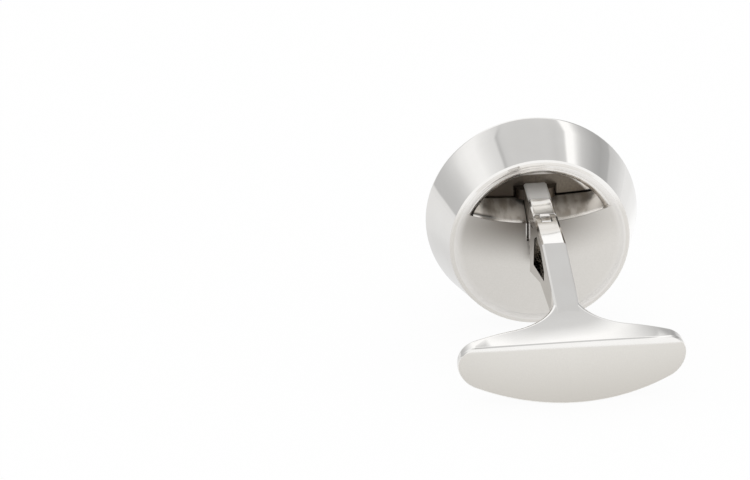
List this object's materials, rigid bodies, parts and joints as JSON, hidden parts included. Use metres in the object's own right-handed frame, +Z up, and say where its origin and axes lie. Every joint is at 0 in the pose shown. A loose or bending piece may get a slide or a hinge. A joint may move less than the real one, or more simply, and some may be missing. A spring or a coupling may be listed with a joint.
{
  "type": "cufflink",
  "caption": "Round cufflink with a conical polished head, stone front, satin back with half-moon pocket, and a hinged arm ending in an oval toggle.",
  "frame": {"origin": "middle of the floor of the bounding box, on the table that the cufflink lies on", "axes": "+X along the toggle, +Y from the toggle to the head, +Z up; the cufflink lies on the lip of its head and the lower edge of its toggle"},
  "size_m": [0.017, 0.0274, 0.0167],
  "materials": {
    "polished_steel": "polished",
    "satin_steel": "satin",
    "solder": "bright, uneven",
    "pin_steel": "polished",
    "spring_steel": "bright",
    "dark_stone": "faceted, polished"
  },
  "bodies": {
    "head": {"bezel_cup": "polished_steel", "stone": "dark_stone", "back_plate": "satin_steel", "hinge_post": "polished_steel", "solder_left": "solder", "solder_right": "solder"},
    "arm": {"toggle_arm": "polished_steel", "hinge_pin": "pin_steel", "leaf_spring": "spring_steel"}
  },
  "joints": [
    {"name": "arm_fold", "type": "hinge", "parent": "head", "child": "arm", "pos_m": [0, 0.00196, 0.00982], "axis": [-1, 0, 0], "range_deg": [0, 90], "deforming": ["leaf_spring"]}
  ]
}
